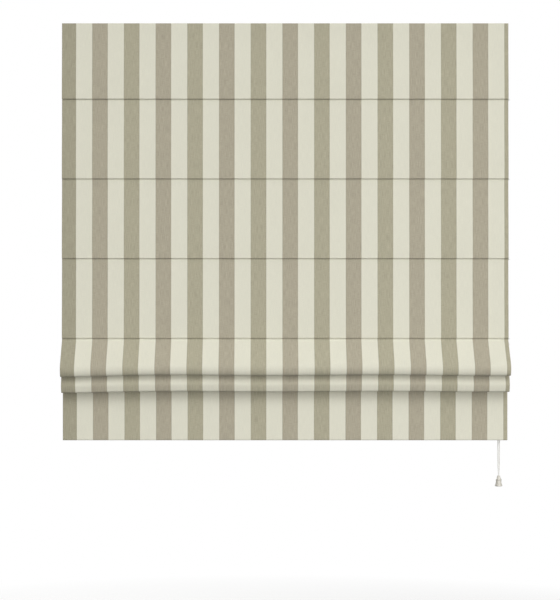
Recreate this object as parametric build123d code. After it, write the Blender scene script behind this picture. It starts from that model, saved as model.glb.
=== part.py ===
from build123d import *
import os
from math import cos, radians, sin

os.makedirs("parts", exist_ok=True)

# A cord-operated roman blind, partly raised, so that its two lowest panels hang in folds.
# Origin: on the fixing plane, above the middle of the head rail. +Z is up and the cloth's face looks
# along -Y. Lengths are in millimetres.

# Cloth
blind_width = 1300.0
cloth_thickness = 1.0
top_drop = 221.0            # fixing plane to the first rod
rod_pitch = 232.0           # cloth between two rods
rod_count = 6
side_hem_width = 22.0
side_hem_thickness = 0.8
seam_notch_width = 2.4
seam_notch_depth = 1.3

# Head rail, an extruded channel that is open below
rail_depth = 24.0
rail_height = 34.0
rail_wall = 1.5
rail_flange_lip = 1.5       # stands out at the top of both sides, for the brackets
rail_bottom_lip = 3.5       # turns in below, and carries the guides
rail_end_inset = 5.0        # the cloth reaches this far past the rail at each end
tape_recess_depth = 0.4

# Hook-and-loop tape
tape_height = 25.0
tape_top_z = -7.0
hook_tape_thickness = 1.6
loop_tape_thickness = 1.6

# Fixing brackets
bracket_plate = 2.0
bracket_width = 36.0
bracket_end_inset = 170.0   # from the cloth's edge to the outer brackets' middles
bracket_back_reach = 36.0
bracket_hook_thickness = 0.8
bracket_hook_reach = 1.4    # under the rail's flange
bracket_fit_gap = 0.2
screw_spacing = 20.0
screw_hole_radius = 2.25
screw_row_y = 25.0
screw_head_radius = 4.2
tongue_thickness = 1.2
lever_width = 14.0
lever_drop = 15.0
lever_reach = 5.0

# Rail end caps
cap_plate = 3.0
cap_plug_length = 2.4
cap_plug_top_z = -11.0
cap_fit_gap = 0.2
cap_peg_length = 12.0
rail_port_radius = 2.4      # round ports inside the rail's top corners, for the caps' pegs
rail_port_bore = 1.4
rail_port_y = 7.8

# Rods, their pockets and their end caps
rod_radius = 2.5
rod_pocket_gap = 0.3
rod_left_inset = 3.0        # the pocket is sewn shut at this end
pocket_stop_length = 2.0
pocket_overlap = 0.4
rod_cap_radius = 3.3
rod_cap_length = 3.2
rod_cap_wall = 0.7
seat_gap = 0.3

# Rings and lift cords
cord_radius = 0.7
cord_sides = 8
cord_end_inset = 80.0       # from the cloth's edge to the outer lift cords
cord_count = 4
cord_lane_pitch = 1.8
ring_major_radius = 5.3
ring_section_radius = 1.1
ring_sides = 16
ring_wire_sides = 6
ring_clearance = 5.0        # a cord bends this far from a ring's middle
ring_bend_radius = 60.0
orb_radius = 6.0
orb_mouth_radius = 2.4
orb_height = 16.0

# Cord guides: a roller on a pin between two cheeks, on a base that sits on the rail's bottom lips
roller_radius = 4.5
roller_flange_radius = 6.2
roller_flange_thickness = 1.2
roller_length = 13.0
roller_bore_gap = 0.08
roller_side_gap = 0.4
pin_radius = 1.5
cord_roller_gap = 0.15
roller_z = -23.0
guide_side_gap = 0.3
guide_base_thickness = 2.4
guide_length = 32.0
guide_cheek_length = 15.0
guide_cheek_thickness = 1.8
guide_cheek_rise = 4.5
guide_slot_width = 4.6
guide_slot_length = 11.0
pin_press_gap = 0.02

# Cord lock, at the right end of the rail: the cords turn down over a wheel and past a fixed jaw, and
# a grooved roller drops in its slanting slots to pinch them
lock_end_inset = 23.0       # from the cloth's edge to the cords in the lock
lock_left_wall = 9.0
lock_right_wall = 1.6
lock_wheel_room = 3.4
lock_top_z = -9.5
lock_bottom_z = -48.0
lock_skirt_half_width = 9.0
lock_cord_half_room = 5.4
lock_jaw_gap = 0.3
lock_roller_gap = 0.25
lock_roller_radius = 3.2
lock_roller_end_gap = 0.2
lock_axle_radius = 1.4
lock_axle_reach = 1.1
lock_roller_z = -38.0
lock_slot_lean = 22.0       # degrees from upright, leaning away from the cords
lock_travel = 7.0
lock_slot_gap = 0.15
lock_groove_count = 20
lock_groove_radius = 0.45
cord_window_height = 3.4
cord_tail_start = 2.0       # above the lock's mouth

# Hem and its bar
hem_bar_height = 25.0
hem_bar_thickness = 3.0
hem_bar_edge_radius = 1.2
hem_bar_end_inset = 24.0    # clear of the side hems
hem_bar_gap = 0.3
hem_pocket_rise = 5.0
hem_close_radius = 2.0

# Bell on the pull cords
bell_top_z = -1321.0
bell_height = 31.0
bell_radius = 10.5
bell_neck_radius = 4.2
bell_hole_radius = 2.6
bell_hole_depth = 9.0
pull_cord_y = 16.5
pull_cord_pitch = 2.4
bell_cord_offset = 1.0
pull_cord_straight = 40.0   # below the lock, before the cords draw together
pull_cord_gather = 230.0    # from the lock down to where they hang side by side
bell_cord_spread = 34.0     # above the bell, where they turn towards its hole
bell_cord_entry = 8.0

# Places of the partly raised state: how far each bend of the folded cloth stands in front of the
# flat panels, and its height
stack_gap = 18.0            # between two rods whose panel is fully gathered
skirt_set_back = 16.0
hem_z = -1216.0
rod_5_set_back = 2.0
rod_6_drop = 50.0           # below rod 5
upper_fold_drop = 106.0     # from rod 4 to the upper fold's lowest edge
lower_fold_drop = 154.0     # from rod 4 to the lower fold's lowest edge
flat_neck_drop = 4.0        # from rod 4 to where the upper fold starts to lean out
flat_neck_radius = 34.0
upper_neck_run = 12.0       # straight cloth below a pocket
lower_neck_run = 14.0
neck_radius = 16.0

# Bends of the folds: distance in front of the flat panels, height above the fold's lowest layer, and
# bend radius
upper_fold_bends = ((50.0, 21.5, 30.0), (39.0, 0.0, 9.0), (26.0, 0.0, 6.0), (24.6, 41.5, 40.0))
lower_fold_bends = ((20.6, 85.5, 40.0), (22.6, 15.5, 30.0), (17.5, 0.0, 5.5), (7.5, 0.0, 5.0),
                    (4.0, 23.5, 40.0))

# Worked out from the above
rail_top_z = -bracket_plate
rail_bottom_z = rail_top_z - rail_height
rail_front_y = -rail_depth / 2
hook_front_y = rail_front_y + tape_recess_depth - hook_tape_thickness
loop_front_y = hook_front_y - loop_tape_thickness
cloth_y = loop_front_y - cloth_thickness / 2
rail_length = blind_width - 2 * rail_end_inset - 2 * cap_plate
outer_bracket_x = blind_width / 2 - bracket_end_inset
bracket_x = (-outer_bracket_x, 0.0, outer_bracket_x)
outer_cord_x = blind_width / 2 - cord_end_inset
cord_spacing = 2 * outer_cord_x / (cord_count - 1)
cord_x = [cord_spacing * n - outer_cord_x for n in range(cord_count)]
pull_x = blind_width / 2 - lock_end_inset

pocket_inner = rod_radius + rod_pocket_gap
pocket_outer = pocket_inner + cloth_thickness
pocket_reach = pocket_outer - pocket_overlap
ring_reach = pocket_outer + seat_gap + ring_major_radius + ring_section_radius

rod_z = [-top_drop - rod_pitch * n for n in range(4)]
rod_z += [rod_z[3] - stack_gap, rod_z[3] - stack_gap - rod_6_drop]
flat_rod_y = cloth_y + cloth_thickness / 2 + pocket_reach
skirt_y = cloth_y + skirt_set_back
rod_y = [flat_rod_y] * 4 + [flat_rod_y + rod_5_set_back, skirt_y - cloth_thickness / 2]
ring_y = [y + ring_reach for y in rod_y]

cord_bend_radius = roller_radius + cord_roller_gap + cord_radius
cord_top_z = roller_z + cord_bend_radius
lanes = [ring_y[0] + cord_lane_pitch * (n - (cord_count - 1) / 2) for n in range(cord_count)]
rail_inside_top = rail_top_z - rail_wall
rail_inside_half = rail_depth / 2 - rail_wall
lip_gap_half = rail_inside_half - rail_bottom_lip
lip_top_z = rail_bottom_z + rail_wall
orb_top_z = rod_z[5] - ring_section_radius - seat_gap
cord_join_z = lock_bottom_z + cord_tail_start
roller_half = roller_length / 2
cheek_inside = roller_half + roller_side_gap
rail_end = rail_length / 2


def write(name, shape):
    shape.label = name
    export_step(shape, f"parts/{name}.step")


def block(x0, x1, y0, y1, z0, z1):
    """A box between two opposite corners."""
    return Pos((x0 + x1) / 2, (y0 + y1) / 2, (z0 + z1) / 2) * Box(x1 - x0, y1 - y0, z1 - z0)


def along_x(radius, x0, x1, y, z):
    """A round bar along X."""
    return Pos((x0 + x1) / 2, y, z) * Rot(0, 90, 0) * Cylinder(radius, x1 - x0)


def along_y(radius, y0, y1, x, z):
    """A round bar along Y."""
    return Pos(x, (y0 + y1) / 2, z) * Rot(90, 0, 0) * Cylinder(radius, y1 - y0)


def extrude_x(face, x0, x1):
    """A section drawn in Y and Z, pushed from x0 to x1."""
    return Pos(x0, 0, 0) * extrude(Plane.YZ * face, x1 - x0)


# The cloth is drawn as its middle line, seen from the right: Y across and Z up. A bend is a corner of
# the line and its radius.


def forward(distance, z):
    """A point this far in front of the flat panels."""
    return (cloth_y - distance, z)


def beside(corners, distance):
    """The line through (point, bend radius) corners, moved sideways to the right by distance. The
    first and last corner have no radius."""
    points = [Vector(*point) for point, _ in corners]
    runs = [(end - start).normalized() for start, end in zip(points, points[1:])]
    sides = [Vector(run.Y, -run.X) for run in runs]
    moved, radii = [points[0] + sides[0] * distance], []
    for n, (point, radius) in enumerate(corners[1:-1]):
        mitre = (sides[n] + sides[n + 1]).normalized()
        moved.append(points[n + 1] + mitre * (distance / mitre.dot(sides[n])))
        turns_left = runs[n].cross(runs[n + 1]).Z > 0
        radii.append(radius + (distance if turns_left else -distance))
    moved.append(points[-1] + sides[-1] * distance)
    return FilletPolyline(*moved, radius=radii)


half_layer = cloth_thickness / 2
upper_fold_z = rod_z[3] - upper_fold_drop + half_layer
lower_fold_z = rod_z[3] - lower_fold_drop + half_layer
neck_5 = (rod_y[4], rod_z[4] - pocket_inner - cloth_thickness / 2)
neck_6 = (rod_y[5], rod_z[5] - pocket_inner - cloth_thickness / 2)


def bends(places, lowest_z):
    """Corners of the line at a fold's bends."""
    return [(forward(distance, lowest_z + height), radius) for distance, height, radius in places]



# Flat panels, then the front and back layers of the upper fold, up to the fifth rod
upper_line = [
    (forward(0.0, 0.0), 0),
    (forward(0.0, rod_z[3] - flat_neck_drop), flat_neck_radius),
    *bends(upper_fold_bends, upper_fold_z),
    ((neck_5[0] - half_layer, neck_5[1] - upper_neck_run), neck_radius),
    ((neck_5[0] - half_layer, neck_5[1]), 0),
]

# Front and back layers of the lower fold, from the fifth rod to the sixth
lower_line = [
    ((neck_5[0] + half_layer, neck_5[1]), 0),
    ((neck_5[0] + half_layer, neck_5[1] - lower_neck_run), neck_radius),
    *bends(lower_fold_bends, lower_fold_z),
    ((neck_6[0] - half_layer, neck_6[1] - lower_neck_run), neck_radius),
    ((neck_6[0] - half_layer, neck_6[1]), 0),
]

# Skirt, which turns up round the hem bar
hem_pocket = cloth_thickness + 2 * hem_bar_gap + hem_bar_thickness
hem_turn = hem_pocket / 2
hem_top_z = hem_z + cloth_thickness + 2 * hem_bar_gap + hem_bar_height
skirt_line = [
    ((skirt_y, neck_6[1]), 0),
    ((skirt_y, hem_z + half_layer), hem_turn * 0.99),
    ((skirt_y + hem_pocket, hem_z + half_layer), hem_turn * 0.99),
    ((skirt_y + hem_pocket, hem_top_z), 0),
]

# The hem pocket closes against the skirt above the bar, where it is stitched
hem_close_line = [
    ((skirt_y + hem_pocket, hem_top_z - hem_turn), 0),
    ((skirt_y + hem_pocket, hem_top_z), hem_close_radius),
    ((skirt_y + half_layer, hem_top_z + hem_pocket_rise), 0),
]


def layer(line, face_side, back_side):
    """The cloth's section, this far to each side of its middle line. The face is on the right when
    the line is followed down."""
    right, left = beside(line, face_side), beside(line, -back_side)
    ends = [Line(left @ n, right @ n) for n in (0, 1)]
    return make_face([*left.edges(), *right.edges(), *[end.edge() for end in ends]])


def pocket(y, z, hollow=True):
    """The sewn tunnel of a rod."""
    tunnel = Pos(y, z) * Circle(pocket_outer)
    return tunnel - Pos(y, z) * Circle(pocket_inner) if hollow else tunnel


def seam_notch(z):
    """The crease that shows on the face where a pocket is pinched up."""
    half = seam_notch_width / 2
    face_y = cloth_y - half_layer
    return make_face(Polyline(
        (face_y - 0.1, z + half), (face_y + seam_notch_depth, z), (face_y - 0.1, z - half), close=True
    ))


lines = (upper_line, lower_line, skirt_line, hem_close_line)


def cloth_section(face_side, back_side):
    section = Sketch() + [layer(line, face_side, back_side) for line in lines]
    section += [pocket(y, z) for y, z in zip(rod_y, rod_z)]
    section -= [Pos(y, z) * Circle(pocket_inner) for y, z in zip(rod_y, rod_z)]
    return section - [seam_notch(z) for z in rod_z[:4]]


def shade_fabric():
    """One cloth: flat panels, two folds and a skirt, with rod pockets, side hems and a bottom hem."""
    half = blind_width / 2
    cloth = extrude_x(cloth_section(half_layer, half_layer), -half, half)
    hem_section = cloth_section(half_layer, half_layer + side_hem_thickness)
    cloth += extrude_x(hem_section, -half, -half + side_hem_width)
    cloth += extrude_x(hem_section, half - side_hem_width, half)
    for y, z in zip(rod_y, rod_z):
        cloth += extrude_x(pocket(y, z, hollow=False), -half, -half + pocket_stop_length)
    return cloth


def rectangle(y0, y1, z0, z1):
    """A rectangle between two opposite corners, in Y and Z."""
    return Pos((y0 + y1) / 2, (z0 + z1) / 2) * Rectangle(y1 - y0, z1 - z0)


def head_rail():
    """Channel with flanges on top for the brackets, lips below for the guides, a recess for the tape
    and two round ports for the end caps' pegs."""
    half = rail_depth / 2
    section = rectangle(-half, half, rail_bottom_z, rail_top_z)
    flange = half + rail_flange_lip
    section += rectangle(-flange, flange, rail_inside_top, rail_top_z)
    section -= rectangle(-rail_inside_half, rail_inside_half, lip_top_z, rail_inside_top)
    section -= rectangle(-lip_gap_half, lip_gap_half, rail_bottom_z - 1, lip_top_z + 1)
    section -= rectangle(rail_front_y - 1, rail_front_y + tape_recess_depth,
                         tape_top_z - tape_height - seat_gap, tape_top_z + seat_gap)
    port_z = rail_inside_top - rail_port_radius + cap_fit_gap
    for y in (-rail_port_y, rail_port_y):
        section += Pos(y, port_z) * Circle(rail_port_radius)
        section -= Pos(y, port_z) * Circle(rail_port_bore)
    return extrude_x(section, -rail_end, rail_end)


def rail_end_cap(side):
    """Moulded cap with a short plug inside the channel and two pegs in its ports."""
    half = rail_depth / 2 + rail_flange_lip
    plate = extrude_x(rectangle(-half, half, rail_bottom_z, rail_top_z), rail_end, rail_end + cap_plate)
    plate = fillet(plate.edges().filter_by(Axis.X), 2.0)
    plate = chamfer(plate.faces().sort_by(Axis.X)[-1].edges(), 0.6)
    inside = rail_inside_half - cap_fit_gap
    plug = rectangle(-inside, inside, lip_top_z + cap_fit_gap, cap_plug_top_z)
    cap = plate + extrude_x(plug, rail_end - cap_plug_length, rail_end)
    port_z = rail_inside_top - rail_port_radius + cap_fit_gap
    for y in (-rail_port_y, rail_port_y):
        cap += along_x(rail_port_bore - cap_fit_gap / 2, rail_end - cap_peg_length, rail_end, y, port_z)
    return cap if side > 0 else mirror(cap, about=Plane.YZ)


def tape(half, front_y, thickness):
    return block(-half, half, front_y, front_y + thickness, tape_top_z - tape_height, tape_top_z)


def bracket(x):
    """Sprung steel clip: a plate with two screw holes behind the rail, a hook under the front flange,
    and a tongue with a release lever under the back one."""
    half = bracket_width / 2
    flange = rail_depth / 2 + rail_flange_lip + bracket_fit_gap
    under = rail_inside_top - bracket_fit_gap
    clip = block(-half, half, -flange - bracket_hook_thickness, bracket_back_reach, rail_top_z, 0)
    clip = fillet(clip.edges().filter_by(Axis.Z).group_by(Axis.Y)[-1], 6.0)
    hook_front = -flange - bracket_hook_thickness
    clip += block(-half, half, hook_front, -flange, under - bracket_hook_thickness, rail_top_z)
    hook_end = -flange + bracket_hook_reach
    clip += block(-half, half, hook_front, hook_end, under - bracket_hook_thickness, under)
    tongue_back = flange + tongue_thickness
    half_lever = lever_width / 2
    clip += block(-half, half, flange, tongue_back, under - tongue_thickness, rail_top_z)
    clip += block(-half, half, flange - bracket_hook_reach, tongue_back, under - tongue_thickness, under)
    lever = Polyline(
        (flange, under - tongue_thickness),
        (tongue_back, under),
        (tongue_back + lever_reach, rail_top_z - lever_drop),
        (tongue_back + lever_reach - tongue_thickness, rail_top_z - lever_drop),
        close=True,
    )
    clip += extrude_x(make_face(lever), -half_lever, half_lever)
    for dx in (-screw_spacing / 2, screw_spacing / 2):
        clip -= Pos(dx, screw_row_y, 0) * Cylinder(screw_hole_radius, 4 * bracket_plate)
        sink = screw_head_radius - screw_hole_radius
        cone = Cone(screw_head_radius, screw_hole_radius, sink)
        clip -= Pos(dx, screw_row_y, rail_top_z + sink / 2 - 0.6) * cone
    return Pos(x, 0, 0) * clip


def roller(x):
    """Flanged roller on which the cords turn and pass."""
    drum = along_y(roller_radius, -roller_half, roller_half, x, roller_z)
    for y in (-roller_half, roller_half - roller_flange_thickness):
        flange = along_y(roller_flange_radius, y, y + roller_flange_thickness, x, roller_z)
        drum += chamfer(flange.edges().filter_by(GeomType.CIRCLE), 0.3)
    return drum - along_y(pin_radius + roller_bore_gap, -roller_half - 1, roller_half + 1, x, roller_z)


def roller_pin(x, reach):
    pin = along_y(pin_radius, -reach, reach, x, roller_z)
    return chamfer(pin.edges().filter_by(GeomType.CIRCLE), 0.3)


def guide(x):
    """Base on the rail's lips with a boss between them, a slot for the cord, and two cheeks that hold
    the roller's pin. x is the roller's centre."""
    half = guide_length / 2
    inside, boss = rail_inside_half - guide_side_gap, lip_gap_half - guide_side_gap
    base_top = lip_top_z + guide_base_thickness
    base = block(x - half, x + half, -inside, inside, lip_top_z, base_top)
    base = fillet(base.edges().filter_by(Axis.Z), 2.0)
    base += block(x - half + 2, x + half - 2, -boss, boss, rail_bottom_z, lip_top_z)
    slot = Rot(0, 0, 90) * SlotOverall(guide_slot_length, guide_slot_width)
    slot_at = Pos(x - cord_bend_radius, ring_y[0], rail_bottom_z - 1)
    base -= slot_at * extrude(slot, base_top - rail_bottom_z + 2)
    for side in (-1, 1):
        near, far = side * cheek_inside, side * (cheek_inside + guide_cheek_thickness)
        y0, y1 = min(near, far), max(near, far)
        half_cheek = guide_cheek_length / 2
        base += block(x - half_cheek, x + half_cheek, y0, y1, base_top, roller_z)
        cheek = along_y(half_cheek, y0, y1, x, roller_z)
        base += cheek & block(x - half, x + half, y0, y1, roller_z, roller_z + guide_cheek_rise)
    hole = along_y(pin_radius + pin_press_gap, -rail_depth, rail_depth, x, roller_z)
    return base - hole


wheel_x = pull_x - cord_bend_radius
jaw_x = pull_x - cord_radius - lock_jaw_gap
lock_roller_x = pull_x + cord_radius + lock_roller_gap + lock_roller_radius
lock_direction = (sin(radians(lock_slot_lean)), cos(radians(lock_slot_lean)))
lock_room_left = wheel_x - roller_flange_radius - lock_wheel_room
lock_room_right = lock_roller_x + lock_travel * lock_direction[0] + lock_roller_radius + 2 * seat_gap
lock_left, lock_right = lock_room_left - lock_left_wall, lock_room_right + lock_right_wall
wheel_bottom_z = roller_z - roller_flange_radius - lock_jaw_gap


def lock_case():
    """Housing in the rail's end: room for the wheel above, a narrower throat with the fixed jaw below,
    a window for the cords, and slanting slots for the locking roller's axle."""
    inside, boss = rail_inside_half - guide_side_gap, lip_gap_half - guide_side_gap
    case = block(lock_left, lock_right, -inside, inside, lip_top_z, lock_top_z)
    case = fillet(case.edges().filter_by(Axis.Z), 1.5)
    case += block(lock_left, lock_right, -boss, boss, rail_bottom_z, lip_top_z)
    skirt_half = lock_skirt_half_width
    skirt = block(lock_room_left, lock_right, -skirt_half, skirt_half, lock_bottom_z, rail_bottom_z)
    case += fillet(skirt.edges().filter_by(Axis.Z) + skirt.faces().sort_by(Axis.Z)[0].edges(), 1.2)
    case -= block(lock_room_left, lock_room_right, -cheek_inside, cheek_inside,
                  wheel_bottom_z, lock_top_z + 1)
    half_room = lock_cord_half_room
    case -= block(jaw_x, lock_room_right, -half_room, half_room, lock_bottom_z - 1, wheel_bottom_z)
    half_window = cord_window_height / 2
    case -= block(lock_left - 1, lock_room_left + 1, lanes[0] - 2 * cord_radius,
                  lanes[3] + 2 * cord_radius, cord_top_z - half_window, cord_top_z + half_window)
    case -= along_y(pin_radius + pin_press_gap, -rail_depth, rail_depth, wheel_x, roller_z)
    slot_half = half_room + lock_axle_reach + seat_gap
    slot_radius = lock_axle_radius + lock_slot_gap
    slot = SlotCenterToCenter(lock_travel, 2 * slot_radius)
    middle = lock_travel / 2
    slot = Pos(lock_roller_x + middle * lock_direction[0], lock_roller_z + middle * lock_direction[1]) \
        * Rot(0, 0, 90 - lock_slot_lean) * slot
    return case - extrude(Plane.XZ * slot, slot_half, both=True)


def lock_roller():
    """Grooved pinch roller with an axle stub at each end."""
    half = lock_cord_half_room - lock_roller_end_gap
    body = along_y(lock_roller_radius, -half, half, 0, 0)
    groove = along_y(lock_groove_radius, -half - 1, half + 1, lock_roller_radius + 0.15, 0)
    for n in range(lock_groove_count):
        body -= Rot(0, 360 / lock_groove_count * n, 0) * groove
    reach = lock_cord_half_room + lock_axle_reach
    body += along_y(lock_axle_radius, -reach, reach, 0, 0)
    return Pos(lock_roller_x, 0, lock_roller_z) * body


def rod(n):
    end = blind_width / 2 + seat_gap + rod_cap_length - rod_cap_wall
    return along_x(rod_radius, -blind_width / 2 + rod_left_inset, end, rod_y[n], rod_z[n])


def rod_cap(n):
    """Push-on cap on the rod's right end, which stands out of the pocket."""
    x0 = blind_width / 2 + seat_gap
    cap = along_x(rod_cap_radius, x0, x0 + rod_cap_length, rod_y[n], rod_z[n])
    cap = chamfer(cap.edges().filter_by(GeomType.CIRCLE).sort_by(Axis.X)[-1], 0.6)
    depth = rod_cap_length - rod_cap_wall
    return cap - along_x(rod_radius + pin_press_gap, x0 - 1, x0 + depth, rod_y[n], rod_z[n])


def rings(n):
    """The four rings sewn to the back of a rod's pocket, one for each lift cord. A ring is a polygon
    of many short sides, and so is its wire's section."""
    path = Wire.make_polygon([
        Vector(ring_major_radius, 0).rotate(Axis.Z, 360 / ring_sides * side) for side in range(ring_sides)
    ])
    start = Plane(origin=path @ 0, z_dir=path % 0)
    ring = sweep(start * RegularPolygon(ring_section_radius, ring_wire_sides), path,
                 transition=Transition.RIGHT)
    return Compound([Pos(x, ring_y[n], rod_z[n]) * ring for x in cord_x])


def cord_orbs():
    """The beads in which the lift cords end, below the lowest rings."""
    half = orb_height / 2
    bore = cord_radius + seat_gap
    quarter = [(orb_radius, 0.15 * half), (0.85 * orb_radius, 0.6 * half), (orb_mouth_radius, half)]
    outline = [(radius, -z) for radius, z in reversed(quarter)] + quarter
    profile = make_face(Polyline((0, -half), *outline, (bore, half), (bore, 0), (0, 0), close=True))
    orb = revolve(Plane.XZ * profile, Axis.Z)
    return Compound([Pos(x, ring_y[5], orb_top_z - half) * orb for x in cord_x])


def cord(corners):
    """A round cord through (point, bend radius) corners. A radius of None is as large as the runs
    beside the corner allow."""
    points = [Vector(*point) for point, _ in corners]
    radii = []
    for before, here, after, (_, radius) in zip(points, points[1:], points[2:], corners[1:]):
        half_turn = radians((here - before).get_angle(after - here) / 2)
        run = min((here - before).length, (after - here).length)
        radii.append(radius or 0.45 * run * cos(half_turn) / sin(half_turn))
    path = FilletPolyline(*points, radius=radii)
    start = Plane(origin=path @ 0, z_dir=path % 0)
    tube = sweep(start * RegularPolygon(cord_radius, cord_sides), path)
    print("cord length", round(path.length, 1), "radii", [round(radius, 1) for radius in radii])
    return tube


def lift_cord(n):
    """From the bead below the lowest rod, up through the rings, over its roller, along the rail and
    down through the lock."""
    x, lane = cord_x[n], lanes[n]
    orb_seat_z = orb_top_z - orb_height / 2
    return cord([
        ((x, ring_y[5], orb_seat_z), None),
        ((x, ring_y[5], rod_z[5] + ring_clearance), ring_bend_radius),
        ((x, lane, rod_z[3] - ring_clearance), ring_bend_radius),
        ((x, lane, cord_top_z), cord_bend_radius),
        ((pull_x, lane, cord_top_z), cord_bend_radius),
        ((pull_x, lane, cord_join_z), None),
    ])


def pull_cord(n):
    """From the lock down to the bell, held straight by the bell's weight."""
    x = pull_x + pull_cord_pitch * (n - (cord_count - 1) / 2)
    bell_x = pull_x + bell_cord_offset * (-1 if n < 2 else 1)
    bell_y = pull_cord_y + bell_cord_offset * (-1 if n % 2 == 0 else 1)
    return cord([
        ((pull_x, lanes[n], cord_join_z), None),
        ((pull_x, lanes[n], cord_join_z - pull_cord_straight), None),
        ((x, pull_cord_y, cord_join_z - pull_cord_gather), None),
        ((x, pull_cord_y, bell_top_z + bell_cord_spread), None),
        ((bell_x, bell_y, bell_top_z + bell_cord_entry), None),
        ((bell_x, bell_y, bell_top_z - bell_hole_depth), None),
    ])


def cord_bell():
    """Turned bell with a collar round its waist and a rolled rim."""
    top, bottom, waist = bell_height / 2, -bell_height / 2, bell_height * 0.12
    outline = [
        Line((0, top), (bell_neck_radius - 1, top)),
        RadiusArc((bell_neck_radius - 1, top), (bell_neck_radius, top - 1), 1),
        Line((bell_neck_radius, top - 1), (bell_radius * 0.56, waist + 4)),
        Line((bell_radius * 0.56, waist + 4), (bell_radius * 0.84, waist)),
        Line((bell_radius * 0.84, waist), (bell_radius * 0.76, waist - 1)),
        RadiusArc((bell_radius * 0.76, waist - 1), (bell_radius, bottom + 3), -40),
        RadiusArc((bell_radius, bottom + 3), (bell_radius - 1.5, bottom), 1.9),
        Line((bell_radius - 1.5, bottom), (0, bottom)),
        Line((0, bottom), (0, top)),
    ]
    bell = revolve(Plane.XZ * make_face([line.edge() for line in outline]), Axis.Z)
    bell -= Pos(0, 0, top) * Cylinder(bell_hole_radius, 2 * bell_hole_depth)
    return Pos(pull_x, pull_cord_y, bell_top_z - top) * bell


def hem_bar():
    half = blind_width / 2 - hem_bar_end_inset
    middle_y = skirt_y + half_layer + hem_bar_gap + hem_bar_thickness / 2
    middle_z = hem_z + cloth_thickness + hem_bar_gap + hem_bar_height / 2
    section = RectangleRounded(hem_bar_thickness, hem_bar_height, hem_bar_edge_radius)
    return extrude_x(Pos(middle_y, middle_z) * section, -half, half)


write("shade_fabric", shade_fabric())
write("head_rail", head_rail())
write("rail_end_cap_left", rail_end_cap(-1))
write("rail_end_cap_right", rail_end_cap(1))
write("hook_tape", tape(rail_end, hook_front_y, hook_tape_thickness))
loop_half = blind_width / 2 - side_hem_width - seat_gap
write("loop_tape", tape(loop_half, loop_front_y, loop_tape_thickness))
for name, x in zip(("left", "middle", "right"), bracket_x):
    write(f"bracket_{name}", bracket(x))
for n, x in enumerate(cord_x):
    roller_x = x + cord_bend_radius
    write(f"cord_guide_{n + 1}", guide(roller_x))
    write(f"guide_roller_{n + 1}", roller(roller_x))
    write(f"guide_pin_{n + 1}", roller_pin(roller_x, cheek_inside + guide_cheek_thickness + seat_gap))
    write(f"lift_cord_{n + 1}", lift_cord(n))
    write(f"pull_cord_{n + 1}", pull_cord(n))
write("cord_lock_case", lock_case())
write("lock_wheel", roller(wheel_x))
write("lock_wheel_pin", roller_pin(wheel_x, rail_inside_half - guide_side_gap))
write("lock_roller", lock_roller())
for n in range(rod_count):
    write(f"rod_{n + 1}", rod(n))
    write(f"rod_cap_{n + 1}", rod_cap(n))
    write(f"rings_{n + 1}", rings(n))
write("cord_orbs", cord_orbs())
write("hem_bar", hem_bar())
write("cord_bell", cord_bell())
print("cloth between rods 4 and 5:", round(beside(upper_line, 0).length + rod_z[3], 1))
print("cloth between rods 5 and 6:", round(beside(lower_line, 0).length, 1))
print("skirt below rod 6:", round(rod_z[5] - hem_z, 1))
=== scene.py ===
from math import pi

import bpy
import numpy as np
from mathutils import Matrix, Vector


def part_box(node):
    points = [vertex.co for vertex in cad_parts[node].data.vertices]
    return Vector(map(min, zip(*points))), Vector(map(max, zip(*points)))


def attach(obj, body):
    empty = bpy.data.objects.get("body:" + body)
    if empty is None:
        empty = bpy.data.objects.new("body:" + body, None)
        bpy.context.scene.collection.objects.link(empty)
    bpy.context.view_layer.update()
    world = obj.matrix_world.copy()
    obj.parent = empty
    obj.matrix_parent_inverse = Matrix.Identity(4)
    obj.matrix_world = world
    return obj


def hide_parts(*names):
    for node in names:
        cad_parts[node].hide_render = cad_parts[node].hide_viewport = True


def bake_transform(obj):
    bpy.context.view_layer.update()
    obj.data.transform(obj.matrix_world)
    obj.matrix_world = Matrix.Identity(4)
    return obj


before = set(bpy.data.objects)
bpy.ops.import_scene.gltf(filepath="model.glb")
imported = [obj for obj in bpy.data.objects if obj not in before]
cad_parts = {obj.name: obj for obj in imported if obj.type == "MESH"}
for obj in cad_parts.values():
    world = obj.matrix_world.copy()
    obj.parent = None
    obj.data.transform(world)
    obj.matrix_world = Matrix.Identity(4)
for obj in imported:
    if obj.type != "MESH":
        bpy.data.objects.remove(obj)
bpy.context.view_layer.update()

# A partly raised roman blind. Metres, +Z up, the cloth's face looks along -Y, and the origin is on the
# fixing plane above the middle of the head rail.


def middle(node):
    """The middle of a CAD node's box."""
    low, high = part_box(node)
    return (np.array(low) + np.array(high)) / 2


rods = [middle(f"rod_{n}")[1:] for n in range(1, 7)]
bodies = ["root"] + [f"rod_{n}_body" for n in range(1, 7)]
cloth_low, cloth_high = (np.array(corner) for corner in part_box("shade_fabric"))
half_width = (cloth_high[0] - cloth_low[0]) / 2
hem_z = cloth_low[2]

half_cloth = 0.0005
side_hem_width = 0.022
side_hem_thickness = 0.0008
side_hem_ramp = 0.0006      # across which the side hem's thickness begins
cloth_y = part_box("loop_tape")[0][1] - half_cloth
skirt_y = rods[5][0] + half_cloth
rail_bottom_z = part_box("head_rail")[0][2]


# Camera. The photo is 560 by 600 pixels, and 1 pixel is 2.912 mm on the flat panels.
image_width, image_height = 560, 600
pixel = 0.002912
top_edge_pixel = 23.3
middle_pixel = 285.2
axis_pixel = 264.0
camera_distance = 4.0

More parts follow.
